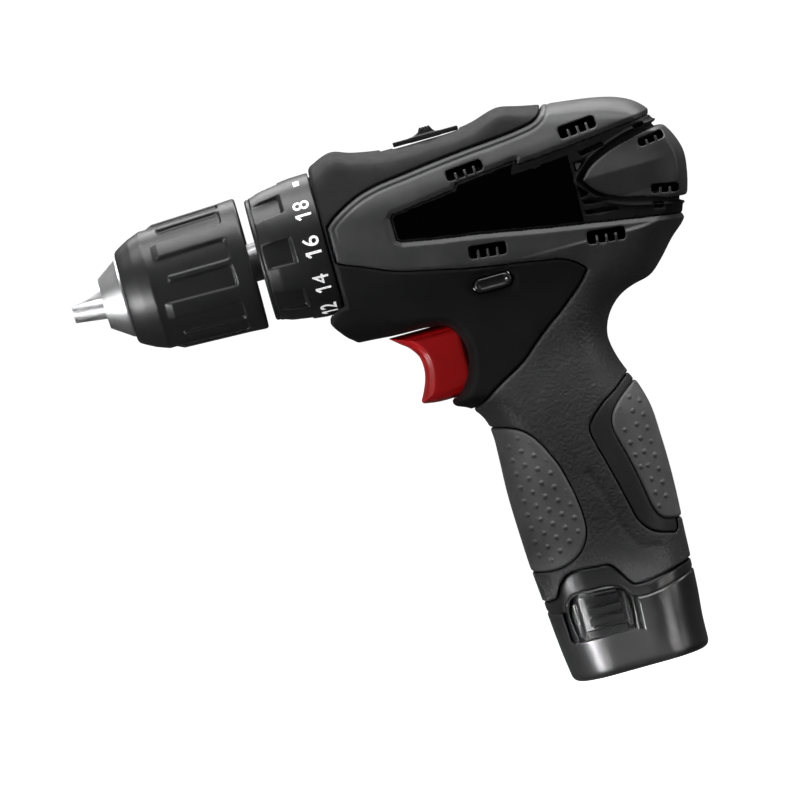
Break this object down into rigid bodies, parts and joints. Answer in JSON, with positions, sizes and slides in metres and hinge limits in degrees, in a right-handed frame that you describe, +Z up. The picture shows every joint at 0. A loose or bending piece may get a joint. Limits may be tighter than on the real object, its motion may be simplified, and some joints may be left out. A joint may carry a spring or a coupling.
{
  "type": "cordless drill",
  "caption": "Pistol-grip cordless drill driver with keyless chuck, torque collar, speed and direction selectors, trigger and a slide-out stem battery in the handle.",
  "frame": {"origin": "middle of the battery's flat foot, on the surface that the drill stands on", "axes": "+Z up the handle, nose towards -X, the tool's left side towards -Y"},
  "size_m": [0.1956, 0.0518, 0.1787],
  "materials": {
    "black_shell": "satin black moulded nylon",
    "black_nylon": "plain black nylon",
    "black_gloss": "glossy black plastic",
    "black_plate": "flat black blank plate",
    "grey_shell": "satin dark grey plastic",
    "grey_rubber": "dark grey overmoulded rubber with fine grain",
    "pad_rubber": "grey rubber pad with small raised dots",
    "trim_rubber": "darker rubber strip",
    "red_plastic": "red semi-gloss trigger plastic",
    "chuck_steel": "turned satin steel",
    "jaw_steel": "ground hardened steel",
    "gear_steel": "sintered gear steel",
    "bearing_steel": "polished bearing steel",
    "zinc_steel": "zinc plated sheet steel",
    "dark_steel": "black oxide steel",
    "die_cast": "die-cast alloy",
    "magnet": "ferrite magnet",
    "carbon": "pressed carbon brush",
    "copper": "bare copper segments",
    "copper_winding": "enamelled copper windings on laminations",
    "contact_brass": "plated brass spring contacts",
    "red_insulation": "PVC wire insulation",
    "cell_sleeve": "lithium cells in a blue shrink sleeve"
  },
  "bodies": {
    "tool_body": {"housing_left": "black_shell", "housing_right": "black_shell", "overmould_left": "grey_rubber", "overmould_right": "grey_rubber", "label_plate_left": "black_plate", "label_plate_right": "black_plate", "rear_cap": "grey_shell", "front_grip_pad": "pad_rubber", "rear_grip_pad": "pad_rubber", "rear_grip_trim": "trim_rubber", "housing_screws": "dark_steel", "motor_can": "zinc_steel", "motor_magnets": "magnet", "motor_end_bell": "black_nylon", "motor_brushes": "carbon", "motor_leads": "red_insulation", "gearbox_case": "die_cast", "motor_plate": "zinc_steel", "ring_gear_1": "gear_steel", "ring_gear_3": "gear_steel", "spindle_bearing": "bearing_steel", "clutch_pins": "bearing_steel", "clutch_washer": "zinc_steel", "clutch_spring": "dark_steel", "switch_body": "black_nylon", "contact_block": "black_nylon"},
    "rotor": {"rotor_shaft": "gear_steel", "armature": "copper_winding", "commutator": "copper", "cooling_fan": "black_nylon"},
    "planet_1a": {"planet_gear_1a": "gear_steel"},
    "planet_1b": {"planet_gear_1b": "gear_steel"},
    "planet_1c": {"planet_gear_1c": "gear_steel"},
    "middle_stage": {"carrier_1": "gear_steel", "planet_gears_2": "gear_steel", "carrier_2": "gear_steel"},
    "shift_ring": {"shift_ring": "gear_steel"},
    "planet_3a": {"planet_gear_3a": "gear_steel"},
    "planet_3b": {"planet_gear_3b": "gear_steel"},
    "planet_3c": {"planet_gear_3c": "gear_steel"},
    "spindle": {"spindle": "gear_steel", "chuck_body": "chuck_steel", "chuck_screw": "dark_steel"},
    "chuck_sleeve": {"chuck_sleeve": "black_shell", "chuck_nut": "gear_steel"},
    "jaw_1": {"chuck_jaw_1": "jaw_steel"},
    "jaw_2": {"chuck_jaw_2": "jaw_steel"},
    "jaw_3": {"chuck_jaw_3": "jaw_steel"},
    "torque_collar": {"torque_collar": "black_shell"},
    "clutch_nut": {"clutch_nut": "black_nylon"},
    "speed_selector": {"speed_selector": "black_nylon", "shift_fork": "dark_steel"},
    "trigger": {"trigger": "red_plastic"},
    "direction_selector": {"direction_selector": "black_gloss"},
    "battery": {"battery_case": "black_gloss", "battery_stem": "black_nylon", "battery_cells": "cell_sleeve", "battery_terminals": "contact_brass"},
    "latch_left": {"latch_left": "black_shell"},
    "latch_right": {"latch_right": "black_shell"}
  },
  "joints": [
    {"name": "spindle_spin", "type": "hinge", "parent": "tool_body", "child": "spindle", "pos_m": [-0.09, 0, 0.152], "axis": [1, 0, 0], "continuous": true},
    {"name": "rotor_spin", "type": "hinge", "parent": "tool_body", "child": "rotor", "pos_m": [0.01, 0, 0.152], "axis": [1, 0, 0], "continuous": true},
    {"name": "middle_stage_spin", "type": "hinge", "parent": "tool_body", "child": "middle_stage", "pos_m": [-0.035, 0, 0.152], "axis": [1, 0, 0], "continuous": true},
    {"name": "planet_1a_spin", "type": "hinge", "parent": "middle_stage", "child": "planet_1a", "pos_m": [-0.024, 0, 0.1412], "axis": [1, 0, 0], "continuous": true},
    {"name": "planet_1b_spin", "type": "hinge", "parent": "middle_stage", "child": "planet_1b", "pos_m": [-0.024, 0.00935, 0.1574], "axis": [1, 0, 0], "continuous": true},
    {"name": "planet_1c_spin", "type": "hinge", "parent": "middle_stage", "child": "planet_1c", "pos_m": [-0.024, -0.00935, 0.1574], "axis": [1, 0, 0], "continuous": true},
    {"name": "planet_3a_spin", "type": "hinge", "parent": "spindle", "child": "planet_3a", "pos_m": [-0.047, 0, 0.1412], "axis": [1, 0, 0], "continuous": true},
    {"name": "planet_3b_spin", "type": "hinge", "parent": "spindle", "child": "planet_3b", "pos_m": [-0.047, 0.00935, 0.1574], "axis": [1, 0, 0], "continuous": true},
    {"name": "planet_3c_spin", "type": "hinge", "parent": "spindle", "child": "planet_3c", "pos_m": [-0.047, -0.00935, 0.1574], "axis": [1, 0, 0], "continuous": true},
    {"name": "shift_ring_slide", "type": "slide", "parent": "middle_stage", "child": "shift_ring", "axis": [-1, 0, 0], "range_m": [0, 0.004]},
    {"name": "speed_selector_slide", "type": "slide", "parent": "tool_body", "child": "speed_selector", "axis": [-1, 0, 0], "range_m": [0, 0.004]},
    {"name": "chuck_sleeve_turn", "type": "hinge", "parent": "spindle", "child": "chuck_sleeve", "pos_m": [-0.1, 0, 0.152], "axis": [-1, 0, 0], "range_deg": [0, 2880]},
    {"name": "jaw_1_slide", "type": "slide", "parent": "spindle", "child": "jaw_1", "axis": [0.9703, 0, 0.2419], "range_m": [0, 0.02067]},
    {"name": "jaw_2_slide", "type": "slide", "parent": "spindle", "child": "jaw_2", "axis": [0.9703, -0.2095, -0.121], "range_m": [0, 0.02067]},
    {"name": "jaw_3_slide", "type": "slide", "parent": "spindle", "child": "jaw_3", "axis": [0.9703, 0.2095, -0.121], "range_m": [0, 0.02067]},
    {"name": "torque_collar_turn", "type": "hinge", "parent": "tool_body", "child": "torque_collar", "pos_m": [-0.07, 0, 0.152], "axis": [1, 0, 0], "range_deg": [-300, 0]},
    {"name": "clutch_nut_slide", "type": "slide", "parent": "torque_collar", "child": "clutch_nut", "axis": [1, 0, 0], "range_m": [-0.005, 0], "deforming": ["clutch_spring"]},
    {"name": "trigger_pull", "type": "slide", "parent": "tool_body", "child": "trigger", "axis": [1, 0, 0], "range_m": [0, 0.0065], "stiffness_N_per_m": 900, "springref_m": -0.002},
    {"name": "direction_selector_push", "type": "slide", "parent": "tool_body", "child": "direction_selector", "axis": [0, 1, 0], "range_m": [-0.0025, 0.0025]},
    {"name": "battery_release", "type": "slide", "parent": "tool_body", "child": "battery", "axis": [0, 0, -1], "range_m": [0, 0.075]},
    {"name": "latch_left_press", "type": "slide", "parent": "battery", "child": "latch_left", "axis": [0, 1, 0], "range_m": [0, 0.0008], "stiffness_N_per_m": 2500, "springref_m": -0.0004},
    {"name": "latch_right_press", "type": "slide", "parent": "battery", "child": "latch_right", "axis": [0, -1, 0], "range_m": [0, 0.0008], "stiffness_N_per_m": 2500, "springref_m": -0.0004}
  ],
  "couplings": [
    {"joint": "rotor_spin", "follows": "spindle_spin", "ratio": 12.96},
    {"joint": "middle_stage_spin", "follows": "spindle_spin", "ratio": 3.6},
    {"joint": "planet_1a_spin", "follows": "spindle_spin", "ratio": -11.7},
    {"joint": "planet_3a_spin", "follows": "spindle_spin", "ratio": -3.25},
    {"joint": "planet_1b_spin", "follows": "spindle_spin", "ratio": -11.7},
    {"joint": "planet_3b_spin", "follows": "spindle_spin", "ratio": -3.25},
    {"joint": "planet_1c_spin", "follows": "spindle_spin", "ratio": -11.7},
    {"joint": "planet_3c_spin", "follows": "spindle_spin", "ratio": -3.25},
    {"joint": "shift_ring_slide", "follows": "speed_selector_slide", "ratio": 1},
    {"joint": "jaw_1_slide", "follows": "chuck_sleeve_turn", "m_per_rad": 0.00041117},
    {"joint": "jaw_2_slide", "follows": "chuck_sleeve_turn", "m_per_rad": 0.00041117},
    {"joint": "jaw_3_slide", "follows": "chuck_sleeve_turn", "m_per_rad": 0.00041117},
    {"joint": "clutch_nut_slide", "follows": "torque_collar_turn", "m_per_rad": 0.00095492}
  ]
}
